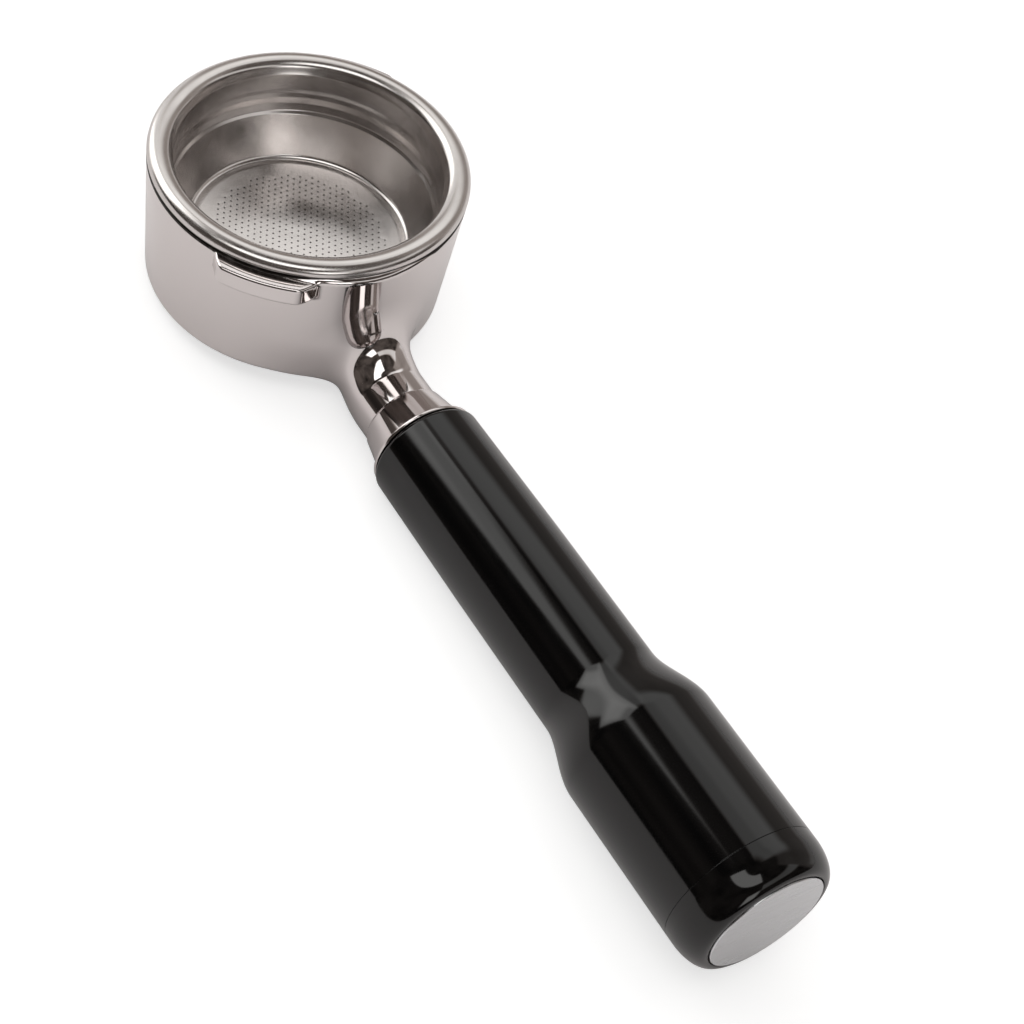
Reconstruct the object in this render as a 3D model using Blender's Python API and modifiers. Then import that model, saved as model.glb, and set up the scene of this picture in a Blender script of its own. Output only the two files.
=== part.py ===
"""Bottomless portafilter for a 58 mm espresso group.

The origin is on the cup's axis, at the centre of the filter basket's floor.
+Z points up towards the group head, and the handle runs along -Y.
"""

import math

import bmesh
import bpy
from mathutils import Matrix

MM = 0.001

# Filter basket, heights from the top face of its floor
BASKET_DEPTH = 20.0 * MM  # floor to the cup's top edge
BASKET_RADIUS = 29.3 * MM  # inside, above the step
BASKET_FLOOR_RADIUS = 23.0 * MM  # flat part of the floor
BASKET_CORNER = 1.7 * MM
SHEET = 0.9 * MM
STEP_HEIGHT = 10.0 * MM
STEP_WIDTH = 0.6 * MM
BEAD_HEIGHT = 14.4 * MM  # middle of the bead
BEAD_DEPTH = 0.45 * MM
RIM_RADIUS = 35.0 * MM
RIM_THICKNESS = 2.9 * MM
RIM_GAP = 0.5 * MM
HOLE_RINGS = 5
HOLE_PITCH = 4.0 * MM
HOLE_RADIUS = 0.6 * MM

# Cup, one forging with its lugs and neck
CUP_TOP = BASKET_DEPTH
CUP_HEIGHT = 30.9 * MM
CUP_BOTTOM = CUP_TOP - CUP_HEIGHT
CUP_TOP_RADIUS = 35.3 * MM
CUP_BOTTOM_RADIUS = 33.0 * MM
CUP_EDGE = 1.7 * MM
BORE_RADIUS = 31.0 * MM
LOWER_BORE_RADIUS = 29.3 * MM
LOWER_BORE_TOP = 5.0 * MM

# Wire spring in its groove, just under the basket's bead
SPRING_HEIGHT = 12.6 * MM
SPRING_WIRE = 0.6 * MM
SPRING_RADIUS = 31.75 * MM
SPRING_GAP_ANGLE = math.radians(14)
GROOVE_RADIUS = 32.7 * MM
GROOVE_HALF = 1.0 * MM

# Two lugs, angles measured about the cup's axis from the handle
LUG_RADIUS = 38.0 * MM
LUG_TOP = CUP_TOP - 0.3 * MM
LUG_THICKNESS = 4.5 * MM
LUG_START = math.radians(-28.5)
LUG_END = math.radians(-66)
LUG_LEAD = math.radians(9)

# Handle and neck, lengths measured along the handle from the cup's axis
HANDLE_Z = CUP_TOP - 30.4 * MM
NECK_END = 57.4 * MM
NECK_END_RADIUS = 10.9 * MM
NECK_RADIUS = 8.75 * MM
NECK_ROOT = 27.0 * MM  # the root's end, cut away by the bore
NECK_ROOT_RADIUS = 8.4 * MM
NECK_RISE = 6.0 * MM  # of the root above the handle's axis
NECK_BEND = 44.0 * MM  # where the neck comes down to that axis
COLLAR_START = 49.5 * MM
COLLAR_STEP = 0.15 * MM  # how far the collar stands out of the neck
GRIP_START = 58.8 * MM
GRIP_END = 177.0 * MM
GRIP_FRONT_RADIUS = 12.6 * MM
GRIP_WAIST_RADIUS = 13.1 * MM
GRIP_REAR_RADIUS = 16.9 * MM
FLARE_START = 128.0 * MM
FLARE_END = 143.0 * MM
HANDLE_END = 186.1 * MM
DISC_RADIUS = 12.95 * MM
DISC_PROUD = 0.3 * MM

# Tie rod, M8, and what it clamps
GAP = 0.3 * MM
ROD_RADIUS = 4.0 * MM
ROD_HOLE = ROD_RADIUS + GAP
ROD_START = 41.0 * MM
ROD_END = 170.5 * MM
SEAT = 158.0 * MM  # floor of the counterbore for the nut
COUNTERBORE = 9.4 * MM
WASHER_RADIUS = 8.0 * MM
WASHER_THICKNESS = 1.5 * MM
LOCK_WASHER_RADIUS = 7.0 * MM
LOCK_WASHER_THICKNESS = 2.0 * MM
NUT_ACROSS_FLATS = 13.0 * MM
NUT_THICKNESS = 6.5 * MM
SEAL_POCKET_RADIUS = 8.3 * MM
SEAL_POCKET_DEPTH = 2.6 * MM
SEAL_RADIUS = 6.4 * MM  # to the middle of its section
SEAL_SECTION = 1.0 * MM

CUP_STEPS = 48
HANDLE_STEPS = 36
SMALL_STEPS = 24
MERGE = 0.00001


def clear_scene():
    for obj in list(bpy.data.objects):
        bpy.data.objects.remove(obj, do_unlink=True)


def make_collection(name):
    made = bpy.data.collections.new(name)
    bpy.context.scene.collection.children.link(made)
    return made


def make_material(name, color, roughness, metallic):
    made = bpy.data.materials.new(name)
    made.use_nodes = True
    shader = made.node_tree.nodes["Principled BSDF"]
    shader.inputs["Base Color"].default_value = (*color, 1.0)
    shader.inputs["Roughness"].default_value = roughness
    shader.inputs["Metallic"].default_value = metallic
    return made


def add_object(name, mesh, collection, material=None, parent=None):
    made = bpy.data.objects.new(name, mesh)
    collection.objects.link(made)
    made.parent = parent
    if material:
        mesh.materials.append(material)
    else:
        made.hide_render = True
        made.display_type = "WIRE"
    return made


def shade(obj):
    obj.data.shade_smooth()
    obj.data.set_sharp_from_angle(angle=math.radians(35))


def arc(centre, radius, start, end, steps):
    """Points of an arc in a turned profile, angles in degrees from outwards towards up."""
    points = []
    for step in range(steps + 1):
        angle = math.radians(start + (end - start) * step / steps)
        points.append((centre[0] + radius * math.cos(angle), centre[1] + radius * math.sin(angle)))
    return points


def ease(amount):
    """A smooth S from 0 to 1."""
    return amount * amount * (3 - 2 * amount)


def turned(name, profile, collection, material=None, parent=None, closed=False, steps=CUP_STEPS):
    """Turns a profile of (radius, height) points about Z; it runs down the outer side."""
    edges = [(i, i + 1) for i in range(len(profile) - 1)]
    if closed:
        edges.append((len(profile) - 1, 0))
    mesh = bpy.data.meshes.new(name)
    mesh.from_pydata([(radius, 0, height) for radius, height in profile], edges, [])
    made = add_object(name, mesh, collection, material, parent)
    screw = made.modifiers.new("Turn", "SCREW")
    screw.steps = steps
    screw.render_steps = steps
    screw.use_merge_vertices = True
    screw.merge_threshold = MERGE
    screw.use_smooth_shade = True
    return made


def along(profile):
    """Turns (radius, distance from the cup's axis) points into heights below the handle's empty."""
    return [(radius, -distance) for radius, distance in profile]


def mesh_of_curve(curve_object, collection, material=None):
    """Replaces a curve object by a mesh object of its evaluated shape, with welded caps."""
    graph = bpy.context.evaluated_depsgraph_get()
    mesh = bpy.data.meshes.new_from_object(curve_object.evaluated_get(graph))
    shape = bmesh.new()
    shape.from_mesh(mesh)
    bmesh.ops.remove_doubles(shape, verts=shape.verts, dist=MERGE)
    bmesh.ops.recalc_face_normals(shape, faces=shape.faces)
    shape.to_mesh(mesh)
    shape.free()
    name = curve_object.name
    matrix = curve_object.matrix_world.copy()
    bpy.data.objects.remove(curve_object, do_unlink=True)
    mesh.materials.clear()
    made = add_object(name, mesh, collection, material)
    made.matrix_world = matrix
    return made


def tube(name, points, collection, material=None, sides=6):
    """A round bar through (x, y, z, radius) points."""
    curve = bpy.data.curves.new(name, "CURVE")
    curve.dimensions = "3D"
    curve.bevel_depth = 1.0
    curve.bevel_resolution = sides
    curve.use_fill_caps = True
    spline = curve.splines.new("POLY")
    spline.points.add(len(points) - 1)
    for point, (x, y, z, radius) in zip(spline.points, points):
        point.co = (x, y, z, 1)
        point.radius = radius
    made = bpy.data.objects.new(name, curve)
    collection.objects.link(made)
    return mesh_of_curve(made, collection, material)


def plate(name, outline, bottom, top, collection):
    """A flat plate from an outline of (x, y) points."""
    curve = bpy.data.curves.new(name, "CURVE")
    curve.dimensions = "2D"
    curve.fill_mode = "BOTH"
    curve.extrude = (top - bottom) / 2
    spline = curve.splines.new("POLY")
    spline.points.add(len(outline) - 1)
    for point, (x, y) in zip(spline.points, outline):
        point.co = (x, y, 0, 1)
    spline.use_cyclic_u = True
    made = bpy.data.objects.new(name, curve)
    made.location.z = (top + bottom) / 2
    collection.objects.link(made)
    bpy.context.view_layer.update()
    return mesh_of_curve(made, collection)


def boolean(target, other, operation):
    modifier = target.modifiers.new(f"{operation.title()} {other.name}", "BOOLEAN")
    modifier.operation = operation
    modifier.solver = "EXACT"
    modifier.object = other


def make_body(parts, cutters, chrome):
    """Cup, lugs and neck as one forging, bored for the basket and the tie rod."""
    profile = [
        (0, CUP_TOP),
        (CUP_TOP_RADIUS - 0.5 * MM, CUP_TOP),
        (CUP_TOP_RADIUS, CUP_TOP - 0.5 * MM),
    ]
    edge_centre = (CUP_BOTTOM_RADIUS - CUP_EDGE, CUP_BOTTOM + CUP_EDGE)
    profile += arc(edge_centre, CUP_EDGE, 0, -90, 4)
    profile.append((0, CUP_BOTTOM))
    body = turned("portafilter_body", profile, parts, chrome)
    for side, turn in (("left", 0), ("right", math.pi)):
        boolean(body, make_lug(f"lug_{side}", turn, cutters), "UNION")
    boolean(body, make_neck(cutters), "UNION")
    boolean(body, make_bore(cutters), "DIFFERENCE")
    boolean(body, make_rod_hole(cutters), "DIFFERENCE")
    return body


def make_lug(name, turn, cutters):
    """A flat sector that stands out of the cup; its leading end fades into the wall."""
    inner = BORE_RADIUS + 1.5 * MM
    steps = 8
    outer_points, inner_points = [], []
    for step in range(steps + 1):
        angle = LUG_START + (LUG_END - LUG_START) * step / steps
        left = min(1.0, abs(angle - LUG_END) / LUG_LEAD)
        radius = CUP_TOP_RADIUS - 0.6 * MM + (LUG_RADIUS - CUP_TOP_RADIUS + 0.6 * MM) * ease(left)
        direction = (math.sin(angle + turn), -math.cos(angle + turn))
        outer_points.append((radius * direction[0], radius * direction[1]))
        inner_points.append((inner * direction[0], inner * direction[1]))
    outline = outer_points + inner_points[::-1]
    return plate(name, outline, LUG_TOP - LUG_THICKNESS, LUG_TOP, cutters)


def make_neck(cutters):
    """The gooseneck: out of the cup's wall, down to the handle's axis, then out to the collar."""
    points = []
    steps = 7
    for step in range(steps + 1):
        part = step / steps
        y = -(NECK_ROOT + (NECK_BEND - NECK_ROOT) * part)
        z = HANDLE_Z + NECK_RISE * (1 - math.sin(part * math.pi / 2))
        points.append((0, y, z, NECK_ROOT_RADIUS + (NECK_RADIUS - NECK_ROOT_RADIUS) * part))
    points.append((0, -COLLAR_START, HANDLE_Z, NECK_RADIUS))
    points.append((0, -COLLAR_START - COLLAR_STEP, HANDLE_Z, NECK_RADIUS + COLLAR_STEP))
    points.append((0, -NECK_END, HANDLE_Z, NECK_END_RADIUS))
    return tube("neck", points, cutters)


def make_bore(cutters):
    groove_top = SPRING_HEIGHT + GROOVE_HALF
    groove_bottom = SPRING_HEIGHT - GROOVE_HALF
    profile = [
        (0, CUP_TOP + 2 * MM),
        (BORE_RADIUS + 0.6 * MM, CUP_TOP + 2 * MM),
        (BORE_RADIUS + 0.6 * MM, CUP_TOP),
        (BORE_RADIUS, CUP_TOP - 0.6 * MM),
        (BORE_RADIUS, groove_top),
        (GROOVE_RADIUS, groove_top),
        (GROOVE_RADIUS, groove_bottom),
        (BORE_RADIUS, groove_bottom),
        (BORE_RADIUS, LOWER_BORE_TOP),
        (LOWER_BORE_RADIUS, LOWER_BORE_TOP - 1.7 * MM),
        (LOWER_BORE_RADIUS, CUP_BOTTOM + 0.6 * MM),
        (LOWER_BORE_RADIUS + 0.6 * MM, CUP_BOTTOM),
        (LOWER_BORE_RADIUS + 0.6 * MM, CUP_BOTTOM - 12 * MM),
        (0, CUP_BOTTOM - 12 * MM),
    ]
    return turned("bore_cutter", profile, cutters)


def make_rod_hole(cutters):
    depth = NECK_END + 2 * MM - ROD_START + GAP
    mesh = bpy.data.meshes.new("rod_hole_cutter")
    shape = bmesh.new()
    middle = Matrix.Translation((0, -(NECK_END + 2 * MM) + depth / 2, HANDLE_Z))
    bmesh.ops.create_cone(
        shape,
        cap_ends=True,
        segments=SMALL_STEPS,
        radius1=ROD_HOLE,
        radius2=ROD_HOLE,
        depth=depth,
        matrix=middle @ Matrix.Rotation(math.pi / 2, 4, "X"),
    )
    shape.to_mesh(mesh)
    shape.free()
    return add_object("rod_hole_cutter", mesh, cutters)


def make_basket(parts, cutters, steel):
    """Pressed bowl with a rolled rim, a bead for the spring and a perforated floor."""
    rim_bottom = CUP_TOP + RIM_GAP
    rim_top = rim_bottom + RIM_THICKNESS
    roll = RIM_THICKNESS / 2
    outer = BASKET_RADIUS + SHEET
    step_radius = BASKET_RADIUS - STEP_WIDTH
    corner_radius = BASKET_FLOOR_RADIUS + BASKET_CORNER
    profile = arc((RIM_RADIUS - roll, rim_bottom + roll), roll, 90, -70, 5)
    profile += [
        (outer + 0.3 * MM, rim_bottom),
        (outer, rim_bottom - 0.4 * MM),
        (outer, BEAD_HEIGHT + 0.8 * MM),
        (outer + BEAD_DEPTH, BEAD_HEIGHT),
        (outer, BEAD_HEIGHT - 0.8 * MM),
        (outer, STEP_HEIGHT + 0.2 * MM),
        (step_radius + SHEET, STEP_HEIGHT - 0.4 * MM),
        (corner_radius + SHEET, BASKET_CORNER),
        (BASKET_FLOOR_RADIUS, -SHEET),
        (0, -SHEET),
        (0, 0),
        (BASKET_FLOOR_RADIUS, 0),
    ]
    profile += arc((BASKET_FLOOR_RADIUS, BASKET_CORNER), BASKET_CORNER, -60, -5, 2)
    profile += [
        (step_radius, STEP_HEIGHT - 0.4 * MM),
        (BASKET_RADIUS, STEP_HEIGHT + 0.2 * MM),
        (BASKET_RADIUS, BEAD_HEIGHT - 0.8 * MM),
        (BASKET_RADIUS + BEAD_DEPTH, BEAD_HEIGHT),
        (BASKET_RADIUS, BEAD_HEIGHT + 0.8 * MM),
        (BASKET_RADIUS, rim_bottom + 0.6 * MM),
        (BASKET_RADIUS + 0.4 * MM, rim_top - 0.9 * MM),
        (BASKET_RADIUS + 1.6 * MM, rim_top),
    ]
    basket = turned("filter_basket", profile, parts, steel, closed=True)
    boolean(basket, make_floor_holes(cutters), "DIFFERENCE")
    return basket


def make_floor_holes(cutters):
    """Holes on a triangular grid, in hexagonal rings about the solid centre."""
    mesh = bpy.data.meshes.new("floor_hole_cutter")
    shape = bmesh.new()
    for row in range(-HOLE_RINGS, HOLE_RINGS + 1):
        for column in range(-HOLE_RINGS, HOLE_RINGS + 1):
            ring = max(abs(row), abs(column), abs(row + column))
            if ring == 0 or ring > HOLE_RINGS:
                continue
            x = HOLE_PITCH * (column + row / 2)
            y = HOLE_PITCH * row * math.sqrt(3) / 2
            bmesh.ops.create_cone(
                shape,
                cap_ends=True,
                segments=6,
                radius1=HOLE_RADIUS,
                radius2=HOLE_RADIUS,
                depth=4 * SHEET,
                matrix=Matrix.Translation((x, y, -SHEET / 2)),
            )
    shape.to_mesh(mesh)
    shape.free()
    return add_object("floor_hole_cutter", mesh, cutters)


def make_spring(parts, steel):
    """An open ring of wire that holds the basket by its bead."""
    steps = 44
    points = []
    for step in range(steps + 1):
        angle = SPRING_GAP_ANGLE / 2 + (2 * math.pi - SPRING_GAP_ANGLE) * step / steps
        x, y = SPRING_RADIUS * math.sin(angle), SPRING_RADIUS * math.cos(angle)
        points.append((x, y, SPRING_HEIGHT, SPRING_WIRE))
    spring = tube("basket_spring", points, parts, steel, sides=1)
    shade(spring)
    return spring


def ring_profile(inner, outer, start, end):
    return along([(inner, start), (outer, start), (outer, end), (inner, end)])


def make_grip(parts, handle, plastic):
    """The long black grip: a slim waist that swells to a thick rear, bored for the tie rod."""
    front_round = 1.3 * MM
    profile = [(SEAL_POCKET_RADIUS, GRIP_START), (GRIP_FRONT_RADIUS - front_round, GRIP_START)]
    profile += [
        (GRIP_FRONT_RADIUS - 0.4 * MM, GRIP_START + 0.4 * MM),
        (GRIP_FRONT_RADIUS, GRIP_START + front_round),
        (GRIP_WAIST_RADIUS, FLARE_START),
    ]
    steps = 8
    for step in range(1, steps + 1):
        part = step / steps
        radius = GRIP_WAIST_RADIUS + (GRIP_REAR_RADIUS - GRIP_WAIST_RADIUS) * ease(part)
        profile.append((radius, FLARE_START + (FLARE_END - FLARE_START) * part))
    profile += [
        (GRIP_REAR_RADIUS, GRIP_END - 0.5 * MM),
        (GRIP_REAR_RADIUS - 0.5 * MM, GRIP_END),
        (COUNTERBORE, GRIP_END),
        (COUNTERBORE, SEAT),
        (ROD_HOLE, SEAT),
        (ROD_HOLE, GRIP_START + SEAL_POCKET_DEPTH),
        (SEAL_POCKET_RADIUS, GRIP_START + SEAL_POCKET_DEPTH),
    ]
    return turned(
        "handle_grip", along(profile), parts, plastic, handle, closed=True, steps=HANDLE_STEPS
    )


def make_neck_ring(parts, handle, chrome):
    profile = ring_profile(ROD_HOLE, GRIP_FRONT_RADIUS - 0.6 * MM, NECK_END + GAP, GRIP_START - GAP)
    return turned("neck_ring", profile, parts, chrome, handle, closed=True, steps=HANDLE_STEPS)


def make_front_seal(parts, handle, rubber):
    centre = (SEAL_RADIUS, -(GRIP_START + SEAL_POCKET_DEPTH / 2))
    profile = arc(centre, SEAL_SECTION, 180, -135, 7)
    return turned("front_seal", profile, parts, rubber, handle, closed=True, steps=SMALL_STEPS)


def make_tie_rod(parts, handle, steel):
    chamfer = 0.8 * MM
    profile = [
        (0, ROD_START),
        (ROD_RADIUS - chamfer, ROD_START),
        (ROD_RADIUS, ROD_START + chamfer),
        (ROD_RADIUS, ROD_END - chamfer),
        (ROD_RADIUS - chamfer, ROD_END),
        (0, ROD_END),
    ]
    return turned("tie_rod", along(profile), parts, steel, handle, steps=SMALL_STEPS)


def make_washer(parts, handle, steel):
    start = SEAT + GAP
    profile = ring_profile(ROD_HOLE, WASHER_RADIUS, start, start + WASHER_THICKNESS)
    return turned("rod_washer", profile, parts, steel, handle, closed=True, steps=SMALL_STEPS)


def make_lock_washer(parts, cutters, handle, steel):
    """A split spring washer."""
    start = SEAT + 2 * GAP + WASHER_THICKNESS
    end = start + LOCK_WASHER_THICKNESS
    profile = ring_profile(ROD_HOLE, LOCK_WASHER_RADIUS, start, end)
    washer = turned("lock_washer", profile, parts, steel, handle, closed=True, steps=SMALL_STEPS)
    mesh = bpy.data.meshes.new("split_cutter")
    shape = bmesh.new()
    bmesh.ops.create_cube(shape, size=1)
    size = Matrix.Diagonal((1.2 * MM, 8 * MM, 8 * MM, 1))
    slant = Matrix.Rotation(math.radians(20), 4, "Y")
    place = Matrix.Translation((0, 6 * MM, -(start + end) / 2))
    shape.transform(place @ slant @ size)
    shape.to_mesh(mesh)
    shape.free()
    split = add_object("split_cutter", mesh, cutters, parent=handle)
    boolean(washer, split, "DIFFERENCE")
    return washer


def make_nut(parts, cutters, handle, steel):
    start = SEAT + 3 * GAP + WASHER_THICKNESS + LOCK_WASHER_THICKNESS
    middle = -(start + NUT_THICKNESS / 2)
    corner = NUT_ACROSS_FLATS / math.sqrt(3)
    mesh = bpy.data.meshes.new("rod_nut")
    shape = bmesh.new()
    place = Matrix.Translation((0, 0, middle))
    bmesh.ops.create_cone(
        shape,
        cap_ends=True,
        segments=6,
        radius1=corner,
        radius2=corner,
        depth=NUT_THICKNESS,
        matrix=place,
    )
    shape.to_mesh(mesh)
    shape.free()
    nut = add_object("rod_nut", mesh, parts, steel, handle)
    profile = [(0, NUT_THICKNESS), (ROD_HOLE, NUT_THICKNESS)]
    profile += [(ROD_HOLE, -NUT_THICKNESS), (0, -NUT_THICKNESS)]
    hole = turned("nut_hole_cutter", profile, cutters, parent=handle, steps=SMALL_STEPS)
    hole.location.z = middle
    boolean(nut, hole, "DIFFERENCE")
    return nut


def make_end_cap(parts, handle, plastic):
    """The rounded rear piece: a spigot into the grip's counterbore and a recess for the disc."""
    start = GRIP_END + GAP
    spigot = COUNTERBORE - GAP
    spigot_start = start - 5.7 * MM
    bore = 6.0 * MM
    recess = HANDLE_END - 1.4 * MM
    lip = DISC_RADIUS + GAP
    profile = [
        (bore, spigot_start),
        (spigot, spigot_start),
        (spigot, start),
        (GRIP_REAR_RADIUS - 0.5 * MM, start),
        (GRIP_REAR_RADIUS, start + 0.5 * MM),
    ]
    steps = 6
    for step in range(steps + 1):
        angle = math.pi / 2 * step / steps
        radius = lip + 0.5 * MM + (GRIP_REAR_RADIUS - lip - 0.5 * MM) * math.cos(angle)
        shoulder = HANDLE_END - 6.5 * MM
        profile.append((radius, shoulder + 6.5 * MM * math.sin(angle)))
    profile += [(lip, HANDLE_END), (lip, recess), (2.3 * MM, recess), (2.3 * MM, recess - 3 * MM)]
    profile.append((bore, recess - 3 * MM))
    return turned(
        "end_cap", along(profile), parts, plastic, handle, closed=True, steps=HANDLE_STEPS
    )


def make_end_disc(parts, handle, aluminium):
    """The metal disc that closes the handle, with the pin that presses into the end cap."""
    back = HANDLE_END - 1.4 * MM + GAP
    face = HANDLE_END + DISC_PROUD
    pin = 2.0 * MM
    profile = [
        (0, back - 3 * MM),
        (pin, back - 3 * MM),
        (pin, back),
        (DISC_RADIUS, back),
        (DISC_RADIUS, face - 0.3 * MM),
        (DISC_RADIUS - 0.3 * MM, face),
        (0, face),
    ]
    return turned("end_disc", along(profile), parts, aluminium, handle, steps=HANDLE_STEPS)


def build():
    clear_scene()
    parts = make_collection("portafilter")
    cutters = make_collection("portafilter_cutters")
    chrome = make_material("chrome", (0.80, 0.79, 0.78), 0.06, 1.0)
    steel = make_material("satin_steel", (0.62, 0.60, 0.57), 0.22, 1.0)
    zinc = make_material("zinc_steel", (0.55, 0.56, 0.58), 0.35, 1.0)
    plastic = make_material("black_plastic", (0.012, 0.012, 0.013), 0.12, 0.0)
    rubber = make_material("rubber", (0.02, 0.02, 0.02), 0.7, 0.0)
    aluminium = make_material("satin_aluminium", (0.72, 0.72, 0.73), 0.3, 1.0)

    handle = bpy.data.objects.new("handle_axis", None)
    handle.location = (0, 0, HANDLE_Z)
    handle.rotation_euler.x = -math.pi / 2
    parts.objects.link(handle)

    make_body(parts, cutters, chrome)
    make_basket(parts, cutters, steel)
    make_spring(parts, zinc)
    make_neck_ring(parts, handle, chrome)
    make_front_seal(parts, handle, rubber)
    make_tie_rod(parts, handle, zinc)
    make_grip(parts, handle, plastic)
    make_washer(parts, handle, zinc)
    make_lock_washer(parts, cutters, handle, zinc)
    make_nut(parts, cutters, handle, zinc)
    make_end_cap(parts, handle, plastic)
    make_end_disc(parts, handle, aluminium)


build()
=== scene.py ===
"""Looks of the bottomless portafilter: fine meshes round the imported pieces, materials, light and camera.

Sizes are in millimetres, in the CAD model's frame: the origin is at the centre of the basket's floor,
+Z points up and the handle runs along -Y.
"""

import math

import bmesh
import bpy
import numpy as np
from mathutils import Matrix, Vector
from mathutils.geometry import delaunay_2d_cdt


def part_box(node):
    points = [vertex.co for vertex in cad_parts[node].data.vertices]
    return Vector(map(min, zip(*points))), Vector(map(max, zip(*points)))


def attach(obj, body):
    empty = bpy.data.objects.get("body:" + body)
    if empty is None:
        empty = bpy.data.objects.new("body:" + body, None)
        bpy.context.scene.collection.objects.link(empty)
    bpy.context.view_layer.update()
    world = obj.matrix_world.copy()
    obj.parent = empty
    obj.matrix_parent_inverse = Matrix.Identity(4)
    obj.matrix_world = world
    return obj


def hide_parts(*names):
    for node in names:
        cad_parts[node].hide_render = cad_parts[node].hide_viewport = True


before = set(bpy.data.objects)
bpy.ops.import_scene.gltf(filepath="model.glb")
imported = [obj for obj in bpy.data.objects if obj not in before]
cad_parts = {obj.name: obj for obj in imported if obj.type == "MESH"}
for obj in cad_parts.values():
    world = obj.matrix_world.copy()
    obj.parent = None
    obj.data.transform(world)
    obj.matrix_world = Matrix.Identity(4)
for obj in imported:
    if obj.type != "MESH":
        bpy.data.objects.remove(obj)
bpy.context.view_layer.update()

MM = 0.001


def box_mm(node):
    """The low and high corners of a node's box."""
    low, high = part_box(node)
    return [v / MM for v in low], [v / MM for v in high]


BODY_LOW, BODY_HIGH = box_mm("portafilter_body")
_, BASKET_HIGH = box_mm("filter_basket")
GRIP_LOW, GRIP_HIGH = box_mm("handle_grip")
CAP_LOW, _ = box_mm("end_cap")
DISC_LOW, DISC_HIGH = box_mm("end_disc")
RING_LOW, RING_HIGH = box_mm("neck_ring")
SPRING_LOW, SPRING_HIGH = box_mm("basket_spring")

# Cup
CUP_TOP = BODY_HIGH[2]
CUP_HEIGHT = 30.9
CUP_BOTTOM = CUP_TOP - CUP_HEIGHT
CUP_TOP_RADIUS = 34.9
CUP_BOTTOM_RADIUS = 33.0
CUP_EDGE = 1.7
EDGE = 0.3
BORE_RADIUS = 31.0
LOWER_BORE_RADIUS = 29.3
LOWER_BORE_TOP = 5.0
GROOVE_RADIUS = 32.7
GROOVE_HALF = 1.0
SEAT_RADIUS = CUP_TOP_RADIUS + 0.08  # the top face that the rim covers

# Lugs, angles about the cup's axis from the handle
LUG_RADIUS = 38.3
LUG_TOP = CUP_TOP
LUG_THICKNESS = 4.5
LUG_START = math.radians(-24)
LUG_SLANT = 1.5  # how much sooner the square end stops further out
LUG_END = math.radians(-66)
LUG_LEAD = math.radians(9)
LUG_EDGE = 0.7
LUG_FILLET = 0.6
LUG_SUNK = 0.8  # how deep in the wall the fading end starts

# Neck and the fairing above it
HANDLE_Z = (GRIP_LOW[2] + GRIP_HIGH[2]) / 2
NECK_ROOT = 30.0
NECK_RISE = 8.0
NECK_ROOT_RADIUS = 8.4
NECK_BEND = 44.0
NECK_RADIUS = 8.75
COLLAR_START = 49.5
COLLAR_RADIUS = 9.15
COLLAR_EDGE = 0.35
NECK_END = -BODY_LOW[1]
NECK_END_RADIUS = 10.8
NECK_FILLET = 6.0
FAIRING_RADIUS = 20.0
FAIRING_TOP = (-2.0, -15.3, CUP_TOP)
FAIRING_FOOT = (-2.0, -16.2, 1.0)
FAIRING_FILLET = 4.0
ROD_HOLE = 4.3
ROD_HOLE_START = 40.7
NECK_REGION = 18.0  # no part of the neck or fairing is nearer to the cup's axis
FAR_AWAY = 1000.0

# Filter basket
BASKET_RADIUS = 29.3
FLOOR_RADIUS = 23.0
FLOOR_CORNER = 1.7
FLOOR_DISH = 0.9
FLOOR_FLAT = 14.0
FLOOR_DOME = 0.15
SHEET = 0.9
STEP_HEIGHT = 10.0
STEP_WIDTH = 0.6
BEAD_HEIGHT = 14.4
BEAD_HALF = 2.0
BEAD_DEPTH = 0.3
RIM_RADIUS = BASKET_HIGH[0]
RIM_TOP = BASKET_HIGH[2]
RIM_GAP = 0.35
RIM_STRAIGHT = 1.1  # upright part below the half-round
ROLL_STEPS = 12
ROLL_END = math.radians(176.4)  # just short of half a turn, so the inside meets it at an angle
HOLE_PITCH = 1.6
HOLE_RADIUS = 0.22
HOLE_FIELD = 19.6
HOLE_SIDES = 10
FLOOR_RINGS = ((20.4, 100), (21.1, 120), (21.8, 140), (22.4, 160))  # radius, points; beyond the holes

# Spring
SPRING_HEIGHT = (SPRING_LOW[2] + SPRING_HIGH[2]) / 2
SPRING_WIRE = 0.6
SPRING_RADIUS = SPRING_HIGH[0] - SPRING_WIRE
SPRING_GAP = math.radians(14)

# Handle, lengths from the cup's axis
GRIP_START = -GRIP_HIGH[1]
GRIP_END = -GRIP_LOW[1]
GRIP_FRONT_RADIUS = 12.55
GRIP_WAIST_RADIUS = 13.05
GRIP_REAR_RADIUS = 16.9
FLARE_START = 128.0
FLARE_END = 143.0
PARTING_GAP = 0.06
PARTING_EDGE = 0.07
CAP_START = GRIP_END + PARTING_GAP
HANDLE_END = -CAP_LOW[1]
DISC_RADIUS = DISC_HIGH[0]
DISC_FACE = -DISC_LOW[1]
SEAL_POCKET_RADIUS = 8.3
SEAL_POCKET_DEPTH = 2.6
COUNTERBORE_RADIUS = 9.4
COUNTERBORE_START = 158.0
SPIGOT_RADIUS = 9.1
SPIGOT_BORE = 6.0
SPIGOT_LENGTH = 5.7
PIN_HOLE = 2.3
PIN_RADIUS = 2.0
PIN_LENGTH = 3.0
CROWN_LENGTH = 7.2
LIP_WIDTH = 0.35

# How finely the meshes are divided
BODY_VOXEL = 0.4
TURN_STEPS = 192
FLARE_STEPS = 28
CROWN_STEPS = 20
AXIS_GAP = 0.01  # a turned disc starts this far from its axis


# ---------------------------------------------------------------- distance fields, for the forged body


def smooth_min(first, second, width):
    """Union of two distances, with a fillet about that wide."""
    share = np.clip(0.5 + 0.5 * (second - first) / width, 0, 1)
    return second + (first - second) * share - width * share * (1 - share)


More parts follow.
